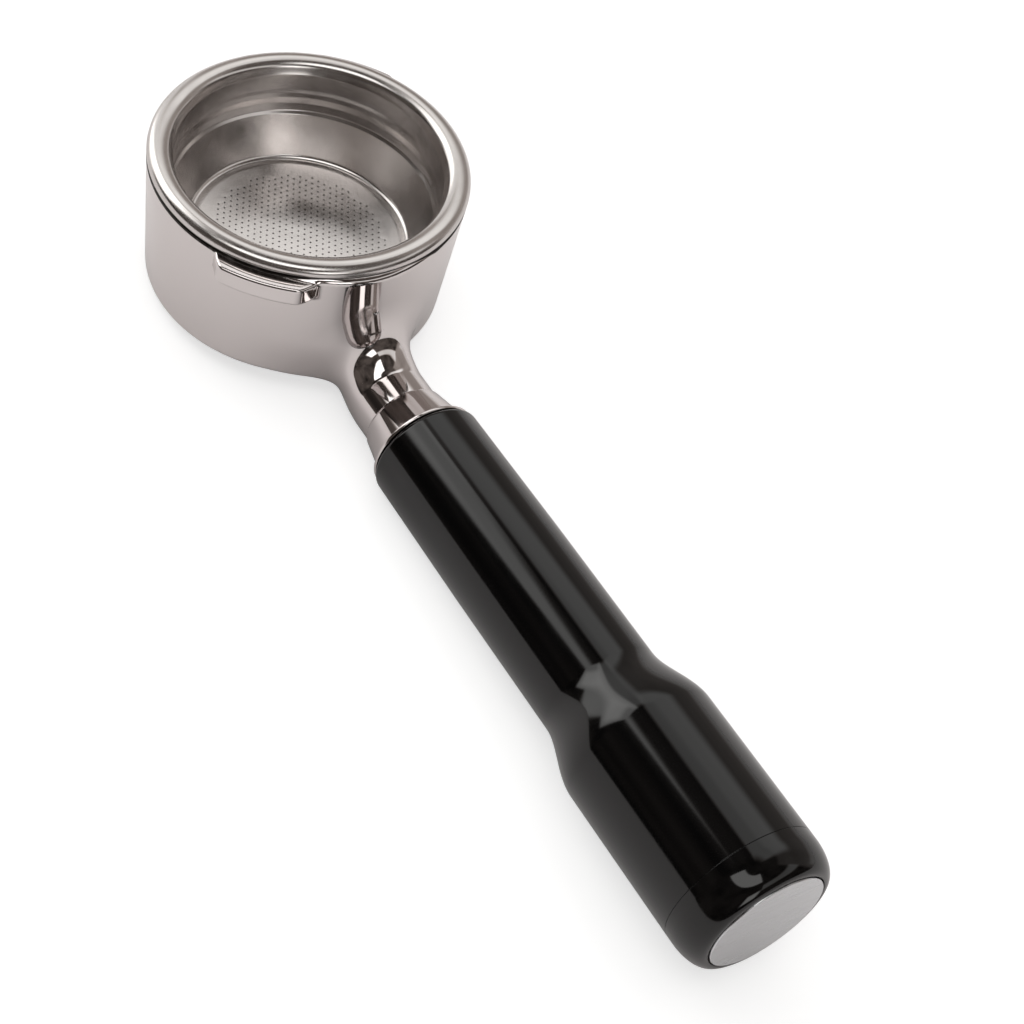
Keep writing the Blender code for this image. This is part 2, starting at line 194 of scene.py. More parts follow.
def round_max(first, second, radius):
    """Intersection of two distances, with its edge rounded."""
    corner = np.hypot(np.maximum(first + radius, 0), np.maximum(second + radius, 0))
    return np.minimum(np.maximum(first, second), -radius) + corner


def ease(amount):
    """A smooth S from 0 to 1."""
    return amount * amount * (3 - 2 * amount)


def cup_field(radius, z):
    """The cup without its bore: a slightly tapered drum."""
    slope = (CUP_TOP_RADIUS - CUP_BOTTOM_RADIUS) / CUP_HEIGHT
    wall = (radius - CUP_TOP_RADIUS - slope * (z - CUP_TOP)) / math.hypot(1, slope)
    return round_max(round_max(wall, z - CUP_TOP, EDGE), CUP_BOTTOM - z, CUP_EDGE)


def bore_field(radius, z):
    """The bore, its narrower lower end and the spring's groove."""
    shoulder = ((radius - BORE_RADIUS) - (z - LOWER_BORE_TOP)) / math.sqrt(2)
    upper = np.maximum(radius - BORE_RADIUS, shoulder)
    groove = np.maximum(radius - GROOVE_RADIUS, np.abs(z - SPRING_HEIGHT) - GROOVE_HALF)
    return np.minimum(np.minimum(radius - LOWER_BORE_RADIUS, upper), groove)


def lug_field(x, y, z):
    """A flat sector with one square end; its other end fades into the wall."""
    radius = np.hypot(x, y)
    angle = np.arctan2(x, -y)
    lead = ease(np.clip((angle - LUG_END) / LUG_LEAD, 0, 1))
    sunk = CUP_TOP_RADIUS - LUG_SUNK
    reach = sunk + (LUG_RADIUS - sunk) * lead
    height = np.abs(z - LUG_TOP + LUG_THICKNESS / 2) - LUG_THICKNESS / 2
    sector = round_max(radius - reach, height, LUG_EDGE)
    end = (angle - LUG_START) * radius + LUG_SLANT * (radius - CUP_TOP_RADIUS)
    return round_max(sector, end / math.hypot(1, LUG_SLANT), LUG_EDGE)


def neck_curve(part):
    """Distance along the handle, height and radius of the gooseneck, for part from 0 to 1."""
    place = NECK_ROOT + (COLLAR_START - NECK_ROOT) * part
    bend = np.clip((place - NECK_ROOT) / (NECK_BEND - NECK_ROOT), 0, 1)
    height = HANDLE_Z + NECK_RISE * (1 - np.sin(bend * math.pi / 2))
    return place, height, NECK_ROOT_RADIUS + (NECK_RADIUS - NECK_ROOT_RADIUS) * bend


def tube_field(points, curve, samples=64):
    """Distance to a tube round a curve in the plane x = 0."""
    place, height, _ = curve(np.linspace(0, 1, samples + 1))
    square = (points[:, 1:2] + place) ** 2 + (points[:, 2:3] - height) ** 2
    nearest = np.clip(square.argmin(axis=1), 1, samples - 1)
    rows = np.arange(len(points))
    before, here, after = (square[rows, nearest + step] for step in (-1, 0, 1))
    shift = np.clip(0.5 * (before - after) / (before - 2 * here + after), -1, 1)
    place, height, radius = curve((nearest + shift) / samples)
    across = np.hypot(points[:, 1] + place, points[:, 2] - height)
    return np.hypot(points[:, 0], across) - radius


def collar_field(radius, place):
    """The collar, a cone that opens towards the grip."""
    slope = (NECK_END_RADIUS - COLLAR_RADIUS) / (NECK_END - COLLAR_START)
    cone = (radius - COLLAR_RADIUS - slope * (place - COLLAR_START)) / math.hypot(1, slope)
    return round_max(round_max(cone, COLLAR_START - place, COLLAR_EDGE), place - NECK_END, EDGE)


def fairing_field(points):
    """A very shallow swelling of the cup's wall above the neck, as a thick leaning capsule."""
    top, foot = np.array(FAIRING_TOP), np.array(FAIRING_FOOT)
    along = foot - top
    part = np.clip((points - top) @ along / (along @ along), 0, 1)
    middle = top + part[:, None] * along
    swelling = np.linalg.norm(points - middle, axis=1) - FAIRING_RADIUS
    return round_max(swelling, points[:, 2] - CUP_TOP, EDGE)


def neck_fields(points):
    """The neck, the fairing and the collar, where they can matter; far away elsewhere."""
    near = points[:, 1] < -NECK_REGION
    some = points[near]
    axis = np.hypot(some[:, 0], some[:, 2] - HANDLE_Z)
    fields = np.full((3, len(points)), FAR_AWAY)
    fields[0, near] = tube_field(some, neck_curve)
    fields[1, near] = fairing_field(some)
    fields[2, near] = collar_field(axis, -some[:, 1])
    return fields


def body_field(points):
    """Signed distance to the forged body: cup, lugs, neck and collar, less its bores."""
    x, y, z = points.T
    radius = np.hypot(x, y)
    lugs = np.minimum(lug_field(x, y, z), lug_field(-x, -y, z))
    neck, fairing, collar = neck_fields(points)
    solid = smooth_min(cup_field(radius, z), neck, NECK_FILLET)
    solid = smooth_min(solid, fairing, FAIRING_FILLET)
    solid = smooth_min(solid, lugs, LUG_FILLET)
    solid = np.minimum(solid, collar)
    hole = np.maximum(np.hypot(x, z - HANDLE_Z) - ROD_HOLE, ROD_HOLE_START + y)
    solid = round_max(solid, -bore_field(radius, z), EDGE)
    return np.maximum(solid, -hole)


def slope_of(field, points, step=0.02):
    """The field's gradient at each point."""
    slope = np.empty_like(points)
    for axis in range(3):
        offset = np.zeros(3)
        offset[axis] = step
        slope[:, axis] = (field(points + offset) - field(points - offset)) / (2 * step)
    return slope


def settle(field, points, rounds):
    """Moves points onto the field's surface."""
    for _ in range(rounds):
        slope = slope_of(field, points)
        square = np.maximum((slope**2).sum(axis=1), 0.2)
        points = points - (field(points) / square)[:, None] * slope
    return points


def relax(points, edges):
    """Moves each point half the way to the middle of its neighbours."""
    ends = np.concatenate([edges, edges[:, ::-1]])
    count = np.bincount(ends[:, 0], minlength=len(points))
    middle = np.empty_like(points)
    for axis in range(3):
        middle[:, axis] = np.bincount(ends[:, 0], points[ends[:, 1], axis], len(points)) / count
    return 0.5 * (points + middle)


def make_body(material):
    """The CAD body's mesh, remeshed finely and settled onto the smooth shape."""
    blank = bpy.data.objects.new("body_blank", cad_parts["portafilter_body"].data.copy())
    bpy.context.scene.collection.objects.link(blank)
    remesh = blank.modifiers.new("Voxels", "REMESH")
    remesh.mode = "VOXEL"
    remesh.voxel_size = BODY_VOXEL * MM
    graph = bpy.context.evaluated_depsgraph_get()
    mesh = bpy.data.meshes.new_from_object(blank.evaluated_get(graph))
    bpy.data.objects.remove(blank, do_unlink=True)
    points = np.empty(len(mesh.vertices) * 3, np.float32)
    mesh.vertices.foreach_get("co", points)
    edges = np.empty(len(mesh.edges) * 2, np.int32)
    mesh.edges.foreach_get("vertices", edges)
    points = points.reshape(-1, 3).astype(float) / MM
    edges = edges.reshape(-1, 2)
    points = settle(body_field, points, 4)
    for _ in range(2):
        points = settle(body_field, relax(points, edges), 2)
    normals = slope_of(body_field, points)
    normals /= np.linalg.norm(normals, axis=1)[:, None]
    mesh.vertices.foreach_set("co", (points * MM).astype(np.float32).ravel())
    mesh.update()
    mesh.shade_smooth()
    mesh.normals_split_custom_set_from_vertices(normals)
    return add_piece("body_forging", mesh, material, "holder", "portafilter_body")


# ---------------------------------------------------------------- turned pieces


def add_piece(name, mesh, material, body, *nodes):
    """Links a mesh as a piece that rides on a body and stands for the CAD nodes."""
    mesh.materials.clear()
    mesh.materials.append(material)
    piece = bpy.data.objects.new(name, mesh)
    bpy.context.scene.collection.objects.link(piece)
    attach(piece, body)
    if nodes:
        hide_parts(*nodes)
    return piece


def rounded(corners, closed=True, steps=4):
    """A profile of (radius, height, rounding) corners, each rounding drawn as an arc."""
    points = []
    count = len(corners)
    for index, (r, h, rounding) in enumerate(corners):
        here = Vector((r, h))
        if not rounding or (not closed and index in (0, count - 1)):
            points.append(tuple(here))
            continue
        to_last = Vector(corners[index - 1][:2]) - here
        to_next = Vector(corners[(index + 1) % count][:2]) - here
        half = to_last.angle(to_next) / 2
        reach = rounding / math.tan(half)
        middle = (to_last.normalized() + to_next.normalized()).normalized()
        centre = here + middle * rounding / math.sin(half)
        start = here + to_last.normalized() * reach - centre
        end = here + to_next.normalized() * reach - centre
        turn = math.atan2(start.x * end.y - start.y * end.x, start.dot(end))
        for step in range(steps + 1):
            spin = Matrix.Rotation(turn * step / steps, 2)
            points.append(tuple(centre + spin @ start))
    return points


def turned_shape(profile, closed=True):
    """A bmesh of the profile turned about Z; (radius, height) points in millimetres."""
    shape = bmesh.new()
    rings = []
    for radius, height in profile:
        ring = []
        for step in range(TURN_STEPS):
            angle = 2 * math.pi * step / TURN_STEPS
            place = (radius * math.sin(angle) * MM, -radius * math.cos(angle) * MM, height * MM)
            ring.append(shape.verts.new(place))
        rings.append(ring)
    pairs = list(zip(rings[:-1], rings[1:]))
    if closed:
        pairs.append((rings[-1], rings[0]))
    for first, second in pairs:
        for step in range(TURN_STEPS):
            after = (step + 1) % TURN_STEPS
            shape.faces.new((first[step], first[after], second[after], second[step]))
    return shape


def finish_mesh(name, shape):
    """Welds, turns the faces outwards and shades smooth, keeping edges sharper than 50 degrees sharp."""
    bmesh.ops.remove_doubles(shape, verts=shape.verts, dist=1e-7)
    bmesh.ops.dissolve_degenerate(shape, edges=shape.edges, dist=1e-8)
    bmesh.ops.recalc_face_normals(shape, faces=shape.faces)
    mesh = bpy.data.meshes.new(name)
    shape.to_mesh(mesh)
    shape.free()
    mesh.shade_smooth()
    mesh.set_sharp_from_angle(angle=math.radians(50))
    return mesh


def weight_normals(piece):
    """Keeps flat and straight stretches even in reflections beside their small roundings."""
    modifier = piece.modifiers.new("Even reflections", "WEIGHTED_NORMAL")
    modifier.mode = "FACE_AREA"
    modifier.weight = 60
    modifier.keep_sharp = True


def handle_matrix():
    """Turns a profile's heights into lengths along the handle."""
    return Matrix.Translation((0, 0, HANDLE_Z * MM)) @ Matrix.Rotation(math.pi / 2, 4, "X")


def handle_piece(name, profile, material, node):
    """A closed turned profile of (radius, length from the cup's axis) points, laid along the handle."""
    shape = turned_shape(profile)
    shape.transform(handle_matrix())
    piece = add_piece(name, finish_mesh(name, shape), material, "holder", node)
    weight_normals(piece)
    return piece


def make_grip(material):
    """A slim waist that swells to a thick rear, bored for the tie rod."""
    corners = [(SEAL_POCKET_RADIUS, GRIP_START, 0), (GRIP_FRONT_RADIUS, GRIP_START, 1.2)]
    corners.append((GRIP_WAIST_RADIUS - 0.1, (GRIP_START + FLARE_START) / 2, 0))
    for step in range(FLARE_STEPS + 1):
        part = step / FLARE_STEPS
        radius = GRIP_WAIST_RADIUS + (GRIP_REAR_RADIUS - 0.1 - GRIP_WAIST_RADIUS) * ease(part)
        corners.append((radius, FLARE_START + (FLARE_END - FLARE_START) * part, 0))
    corners += [
        (GRIP_REAR_RADIUS, GRIP_END, PARTING_EDGE),
        (COUNTERBORE_RADIUS, GRIP_END, 0.3),
        (COUNTERBORE_RADIUS, COUNTERBORE_START, 0),
        (ROD_HOLE, COUNTERBORE_START, 0),
        (ROD_HOLE, GRIP_START + SEAL_POCKET_DEPTH, 0),
        (SEAL_POCKET_RADIUS, GRIP_START + SEAL_POCKET_DEPTH, 0),
    ]
    return handle_piece("grip_shell", rounded(corners, steps=6), material, "handle_grip")


def make_cap(material):
    """The rounded rear of the handle, with a spigot into the grip and a recess for the disc."""
    recess = HANDLE_END - 1.4
    lip = DISC_RADIUS + 0.3
    shoulder = HANDLE_END - CROWN_LENGTH
    crown = GRIP_REAR_RADIUS - lip - LIP_WIDTH
    corners = [
        (SPIGOT_BORE, CAP_START - SPIGOT_LENGTH, 0),
        (SPIGOT_RADIUS, CAP_START - SPIGOT_LENGTH, 0.5),
        (SPIGOT_RADIUS, CAP_START, 0),
        (GRIP_REAR_RADIUS, CAP_START, PARTING_EDGE),
    ]
    for step in range(CROWN_STEPS + 1):
        angle = math.pi / 2 * step / CROWN_STEPS
        radius = lip + LIP_WIDTH + crown * math.cos(angle)
        corners.append((radius, shoulder + (HANDLE_END - shoulder) * math.sin(angle), 0))
    corners += [
        (lip, HANDLE_END, 0.15),
        (lip, recess, 0),
        (PIN_HOLE, recess, 0),
        (PIN_HOLE, recess - PIN_LENGTH, 0),
        (SPIGOT_BORE, recess - PIN_LENGTH, 0),
    ]
    return handle_piece("cap_shell", rounded(corners, steps=5), material, "end_cap")


def make_disc(material):
    """The metal disc that closes the handle, with its pin."""
    back = HANDLE_END - 1.1
    corners = [
        (AXIS_GAP, back - PIN_LENGTH, 0),
        (PIN_RADIUS, back - PIN_LENGTH, 0.4),
        (PIN_RADIUS, back, 0),
        (DISC_RADIUS, back, 0.1),
        (DISC_RADIUS, DISC_FACE, 0.3),
        (DISC_RADIUS - 3, DISC_FACE, 0),
        (AXIS_GAP, DISC_FACE, 0),
    ]
    return handle_piece("disc_plate", rounded(corners, steps=5), material, "end_disc")


def make_ring(material):
    """The thin bright ring between the neck's collar and the grip."""
    start, end = -RING_HIGH[1], -RING_LOW[1]
    outer = RING_HIGH[0]
    corners = [
        (ROD_HOLE, start, 0),
        (outer, start, 0.25),
        (outer, end, 0.25),
        (ROD_HOLE, end, 0),
    ]
    return handle_piece("collar_ring", rounded(corners), material, "neck_ring")


def make_spring(material):
    """The open wire ring that holds the basket."""
    turns, sides = 160, 16
    shape = bmesh.new()
    rings = []
    for turn in range(turns + 1):
        angle = SPRING_GAP / 2 + (2 * math.pi - SPRING_GAP) * turn / turns
        at_end = turn in (0, turns)
        wire = SPRING_WIRE * (0.8 if at_end else 1)
        ring = []
        for side in range(sides):
            tilt = 2 * math.pi * side / sides
            radius = SPRING_RADIUS + wire * math.cos(tilt)
            height = SPRING_HEIGHT + wire * math.sin(tilt)
            place = (radius * math.sin(angle), radius * math.cos(angle), height)
            ring.append(shape.verts.new(Vector(place) * MM))
        rings.append(ring)
    for first, second in zip(rings[:-1], rings[1:]):
        for side in range(sides):
            after = (side + 1) % sides
            shape.faces.new((first[side], first[after], second[after], second[side]))
    shape.faces.new(rings[0])
    shape.faces.new(rings[-1])
    mesh = finish_mesh("spring_wire", shape)
    return add_piece("spring_wire", mesh, material, "holder", "basket_spring")


# ---------------------------------------------------------------- filter basket


def dish(radius):
    """How far the floor sinks below its edge: a faint dome in a shallow pan."""
    edge = max(0.0, (radius - FLOOR_FLAT) / (FLOOR_RADIUS - FLOOR_FLAT))
    dome = max(0.0, 1 - radius / FLOOR_FLAT)
    return FLOOR_DISH * (edge * edge - 1) + FLOOR_DOME * ease(dome)


def basket_profile():
    """From the floor's edge up the inside, over the rolled rim and down the outside."""
    rim_bottom = CUP_TOP + RIM_GAP
    rim_middle = (RIM_RADIUS + BASKET_RADIUS) / 2 + 0.25
    rim_half = RIM_RADIUS - rim_middle
    rim_low = rim_bottom + RIM_STRAIGHT
    roll = []
    for step in range(ROLL_STEPS + 1):
        angle = ROLL_END * (1 - step / ROLL_STEPS)
        height = rim_low + (RIM_TOP - rim_low) * math.sin(angle)
        roll.append((rim_middle + rim_half * math.cos(angle), height, 0))
    outer = BASKET_RADIUS + SHEET
    step_radius = BASKET_RADIUS - STEP_WIDTH
    corner = FLOOR_RADIUS + FLOOR_CORNER
    corners = [
        (FLOOR_RADIUS, 0, 0),
        (corner, 0, 1.5),
        (step_radius, STEP_HEIGHT - 0.4, 0.5),
        (BASKET_RADIUS, STEP_HEIGHT + 0.3, 0.4),
        (BASKET_RADIUS, BEAD_HEIGHT - BEAD_HALF, 0.8),
        (BASKET_RADIUS + BEAD_DEPTH, BEAD_HEIGHT - 0.6, 1.0),
        (BASKET_RADIUS + BEAD_DEPTH, BEAD_HEIGHT + 0.6, 1.0),
        (BASKET_RADIUS, BEAD_HEIGHT + BEAD_HALF, 0.8),
        (BASKET_RADIUS, rim_bottom + 0.2, 0.3),
        *roll,
        (RIM_RADIUS, rim_bottom, 0.9),
        (outer, rim_bottom, 0.4),
        (outer, BEAD_HEIGHT + BEAD_HALF, 0.8),
        (outer + BEAD_DEPTH, BEAD_HEIGHT + 0.6, 1.0),
        (outer + BEAD_DEPTH, BEAD_HEIGHT - 0.6, 1.0),
        (outer, BEAD_HEIGHT - BEAD_HALF, 0.8),
        (outer, STEP_HEIGHT + 0.3, 0.4),
        (step_radius + SHEET, STEP_HEIGHT - 0.4, 0.5),
        (corner + SHEET - 0.1, -SHEET, 2.0),
        (FLOOR_RADIUS, -SHEET, 0),
    ]
    return rounded(corners, closed=False, steps=6)


def hole_centres():
    """A triangular grid inside the field's radius."""
    rows = int(HOLE_FIELD / HOLE_PITCH) + 2
    centres = []
    for row in range(-rows, rows + 1):
        for column in range(-2 * rows, 2 * rows + 1):
            x = HOLE_PITCH * (column + (row % 2) / 2)
            y = HOLE_PITCH * row * math.sqrt(3) / 2
            if math.hypot(x, y) < HOLE_FIELD:
                centres.append((x, y))
    return centres


def ring_points(x, y, radius, steps):
    """Points round a circle, the first one towards -Y."""
    angles = [2 * math.pi * step / steps for step in range(steps)]
    return [Vector((x + radius * math.sin(a), y - radius * math.cos(a))) for a in angles]


def add_floor(shape):
    """The dished, perforated floor, closed round each hole; its edge meets the turned wall."""
    centres = hole_centres()
    loops = [ring_points(x, y, HOLE_RADIUS, HOLE_SIDES) for x, y in centres]
    loops.append(ring_points(0, 0, FLOOR_RADIUS, TURN_STEPS))
    points, edges = [], []
    for loop in loops:
        first = len(points)
        points += loop
        edges += [(first + i, first + (i + 1) % len(loop)) for i in range(len(loop))]
    for radius, steps in FLOOR_RINGS:
        points += ring_points(0, 0, radius, steps)
    made, _, faces, _, _, _ = delaunay_2d_cdt(points, edges, [], 0, 1e-6)
    flat = np.array([tuple(p) for p in made])
    middles = np.array(centres)
    tops = [shape.verts.new((p.x * MM, p.y * MM, dish(p.length) * MM)) for p in made]
    unders = [shape.verts.new((p.x * MM, p.y * MM, (dish(p.length) - SHEET) * MM)) for p in made]
    for face in faces:
        from_holes = middles - flat[list(face)].mean(axis=0)
        if np.hypot(*from_holes.T).min() < HOLE_RADIUS * 0.9:
            continue
        shape.faces.new([tops[i] for i in face])
        shape.faces.new([unders[i] for i in reversed(face)])
    for hole in range(len(centres)):
        for side in range(HOLE_SIDES):
            i, j = hole * HOLE_SIDES + side, hole * HOLE_SIDES + (side + 1) % HOLE_SIDES
            shape.faces.new((tops[i], tops[j], unders[j], unders[i]))


def make_basket(material):
    """The basket in one mesh: turned wall and rim, perforated floor."""
    shape = turned_shape(basket_profile(), closed=False)
    add_floor(shape)
    piece = add_piece("basket_bowl", finish_mesh("basket_bowl", shape), material, "basket", "filter_basket")
    weight_normals(piece)
    return piece


# ---------------------------------------------------------------- materials

CHROME_TINT = (0.72, 0.678, 0.67)
STEEL_TINT = (0.68, 0.65, 0.635)
# Painted shade: a near-black colour for the dark gap under the basket's rim.
GAP_SHADE_TINT = (0.022, 0.016, 0.013)


class Tree:
    """A node tree, with short calls to add and link nodes."""

    def __init__(self, tree):
        self.tree = tree

    def join(self, socket, value):
        """Links a socket to another, or sets its value."""
        if isinstance(value, bpy.types.NodeSocket):
            self.tree.links.new(value, socket)
        elif isinstance(value, tuple) and socket.type == "RGBA" and len(value) == 3:
            socket.default_value = (*value, 1)
        else:
            socket.default_value = value

    def add(self, kind, inputs, **settings):
        """Adds a node; inputs maps a socket's name or number to a value or another socket."""
        node = self.tree.nodes.new(kind)
        for key, value in settings.items():
            setattr(node, key, value)
        for key, value in inputs.items():
            self.join(node.inputs[key], value)
        return node

    def range(self, value, low, high, to_low, to_high, shape="LINEAR"):
        inputs = {"Value": value, "From Min": low, "From Max": high, "To Min": to_low, "To Max": to_high}
        return self.add("ShaderNodeMapRange", inputs, interpolation_type=shape).outputs["Result"]

    def math(self, operation, *values):
        inputs = dict(enumerate(values))
        return self.add("ShaderNodeMath", inputs, operation=operation).outputs[0]

    def mix_color(self, share, first, second):
        node = self.add("ShaderNodeMix", {"Factor": share}, data_type="RGBA")
        sockets = [socket for socket in node.inputs if socket.type == "RGBA"]
        self.join(sockets[0], first)
        self.join(sockets[1], second)
        return [socket for socket in node.outputs if socket.type == "RGBA"][0]


class Finish(Tree):
    """A material round one Principled BSDF."""

    def __init__(self, name, color, metallic, roughness):
        self.material = bpy.data.materials.new(name)
        self.material.use_nodes = True
        super().__init__(self.material.node_tree)
        self.shader = self.tree.nodes["Principled BSDF"]
        self.set("Base Color", color)
        self.set("Metallic", metallic)
        self.set("Roughness", roughness)

    def set(self, name, value):
        self.join(self.shader.inputs[name], value)

    def place(self):
        return self.add("ShaderNodeTexCoord", {}).outputs["Object"]

    def noise(self, scale, detail=4.0, vector=None, roughness=0.55):
        """Noise from about 0.3 to 0.7, with features 1 / scale metres wide."""
        inputs = {"Vector": vector or self.place(), "Scale": scale, "Detail": detail, "Roughness": roughness}
        return self.add("ShaderNodeTexNoise", inputs).outputs["Fac"]

    def bump(self, height, depth, before=None):
        """Bump with the depth in millimetres."""
        inputs = {"Height": height, "Distance": depth * MM, "Strength": 1.0}
        if before:
            inputs["Normal"] = before
        return self.add("ShaderNodeBump", inputs).outputs["Normal"]

    def about_axis(self, angle_scale=0.0):
        """(radius, height) about the cup's axis, with a little of the angle: rings, as a lathe leaves."""
        split = self.add("ShaderNodeSeparateXYZ", {0: self.place()}).outputs
        square = self.math("ADD", self.math("POWER", split[0], 2.0), self.math("POWER", split[1], 2.0))
        radius = self.math("SQRT", square)
        angle = self.math("MULTIPLY", self.math("ARCTAN2", split[0], split[1]), angle_scale)
        return self.add("ShaderNodeCombineXYZ", {0: radius, 1: split[2], 2: angle}).outputs[0]

    def between(self, axis, low, high, edge):
        """1 where the radius (axis 0) or height (axis 1), in millimetres, is from low to high."""
        value = self.add("ShaderNodeSeparateXYZ", {0: self.about_axis()}).outputs[axis]
        above = self.range(value, (low - edge) * MM, low * MM, 0.0, 1.0)
        return self.math("MULTIPLY", above, self.range(value, high * MM, (high + edge) * MM, 1.0, 0.0))

    def paint_gap_shade(self, where, color, roughness):
        """Painted shade in the gap under the basket's rim: darkens, dulls and roughens the masked seat, made
        patchy with noise.
        """
        patchy = self.math("MULTIPLY", where, self.range(self.noise(400, 4), 0.2, 0.45, 0.8, 1.0))
        self.set("Base Color", self.mix_color(patchy, color, GAP_SHADE_TINT))
        self.set("Metallic", self.range(patchy, 0.0, 1.0, 1.0, 0.2))
        self.set("Roughness", self.mix_value(patchy, roughness, 0.5))

    def mix_value(self, share, first, second):
        kept = self.math("MULTIPLY", self.math("SUBTRACT", 1.0, share), first)
        return self.math("ADD", kept, self.math("MULTIPLY", share, second))


def chrome_material():
    """Polished plating: nearly a mirror, a little wavy, with faint haze and painted shade on the seat under
    the rim.
    """
    n = Finish("polished_chrome", CHROME_TINT, 1.0, 0.04)
    haze = n.noise(120, 6)
    top_face = n.between(1, CUP_TOP - EDGE, CUP_TOP + 1, 0.1)
    # Painted shade: the top face that the basket's rim covers is darkened, so its edge draws the dark gap
    # line.
    seat = n.math("MULTIPLY", top_face, n.between(0, 0, SEAT_RADIUS, 0.08))
    n.paint_gap_shade(seat, CHROME_TINT, n.range(haze, 0.35, 0.75, 0.03, 0.09))
    waves = n.bump(n.noise(55, 1.0), 0.03)
    n.set("Normal", n.bump(n.noise(700, 3.0), 0.0012, waves))
    return n.material


def steel_material():
    """Pressed stainless sheet with the fine rings of its polishing, and painted shade on the rim's
    underside.
    """
    n = Finish("basket_steel", STEEL_TINT, 1.0, 0.2)
    rings = n.noise(1500, 2.0, n.about_axis(0.0001), 0.6)
    patches = n.noise(180, 4)
    # Painted shade: the underside of the rim is darkened to draw the dark gap above the cup.
    low_rim = n.between(1, CUP_TOP, CUP_TOP + 0.95, 0.4)
    seat = n.math("MULTIPLY", low_rim, n.between(0, BASKET_RADIUS + 1.3, RIM_RADIUS + 1, 0.1))
    n.paint_gap_shade(seat, STEEL_TINT, n.range(patches, 0.3, 0.7, 0.18, 0.27))
    n.set("Anisotropic", 0.4)
    n.set("Tangent", n.add("ShaderNodeTangent", {}, direction_type="RADIAL", axis="Z").outputs[0])
    n.set("Normal", n.bump(n.noise(90, 1.5), 0.02, n.bump(rings, 0.0007)))
    return n.material


def zinc_material():
    """Dull plated steel for the fasteners and the spring."""
    n = Finish("zinc_plated_steel", (0.56, 0.57, 0.59), 1.0, 0.34)
    n.set("Roughness", n.range(n.noise(900, 5), 0.3, 0.7, 0.26, 0.44))
    n.set("Normal", n.bump(n.noise(2500, 3), 0.004))
    return n.material


def plastic_material():
    """Glossy black moulding, faintly grained and smudged."""
    n = Finish("black_moulding", (0.0015, 0.0015, 0.0016), 0.0, 0.12)
    smudges = n.noise(70, 5)
    n.set("Roughness", n.range(smudges, 0.3, 0.7, 0.06, 0.11))
    grain = n.bump(n.noise(1800, 3), 0.0015)
    n.set("Normal", n.bump(n.noise(60, 1.0), 0.02, grain))
    return n.material


def rubber_material():
    """Matt black rubber for the seal."""
    n = Finish("black_rubber", (0.02, 0.02, 0.02), 0.0, 0.7)
    n.set("Roughness", n.range(n.noise(1500, 4), 0.3, 0.7, 0.6, 0.8))
    n.set("Normal", n.bump(n.noise(3000, 3), 0.01))
    return n.material


def aluminium_material():
    """Satin disc, brushed straight across."""
    n = Finish("satin_aluminium", (0.66, 0.67, 0.685), 1.0, 0.28)
    stretch = n.add("ShaderNodeMapping", {"Vector": n.place(), "Scale": (40, 1, 2500)}).outputs[0]
    lines = n.noise(1.0, 3.0, stretch, 0.6)
    n.set("Roughness", n.range(lines, 0.3, 0.7, 0.26, 0.31))
    n.set("Normal", n.bump(lines, 0.00012))
    return n.material


def set_slots(material, *nodes):
    """Gives CAD nodes that stay visible their material."""
    for name in nodes:
        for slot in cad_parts[name].material_slots:
            slot.material = material


# ---------------------------------------------------------------- studio

CUP_FOOT = 31.0  # where the tilted table touches the cup, at +Y
FLOOR_SLOPE = (CUP_BOTTOM - (HANDLE_Z - GRIP_REAR_RADIUS)) / (CUP_FOOT + FLARE_END)
FLOOR_SIZE = 3  # metres, each way
FLOOR_GAP = 0.05
CAMERA_PLACE = Vector((-0.2244, -0.3180, 0.3657))
CAMERA_AZIMUTH = math.radians(-44.49)
CAMERA_ELEVATION = math.radians(48.56)
CAMERA_ROLL = math.radians(16.35)
CAMERA_LENS = 83.8
BACKDROP = 0.93
NECK_SHADE_PLACE = 50.0  # along the handle
NECK_SHADE_START = 6.0
NECK_SHADE_END = 50.0
OVERHEAD_SIZE = 2.0  # metres
OVERHEAD_HEIGHT = 1.6
OVERHEAD_RADIANCE = 1.0


def make_floor():
    """A pale table under the cup's far foot and the thick of the grip."""
    mesh = bpy.data.meshes.new("table")
    shape = bmesh.new()
    bmesh.ops.create_grid(shape, x_segments=1, y_segments=1, size=FLOOR_SIZE)
    shape.to_mesh(mesh)
    shape.free()
    floor = bpy.data.objects.new("table", mesh)
    bpy.context.scene.collection.objects.link(floor)
    floor.rotation_euler.x = math.atan(FLOOR_SLOPE)
    floor.location = (0, 0, (CUP_BOTTOM - FLOOR_SLOPE * CUP_FOOT - FLOOR_GAP) * MM)
    mesh.materials.append(floor_material())


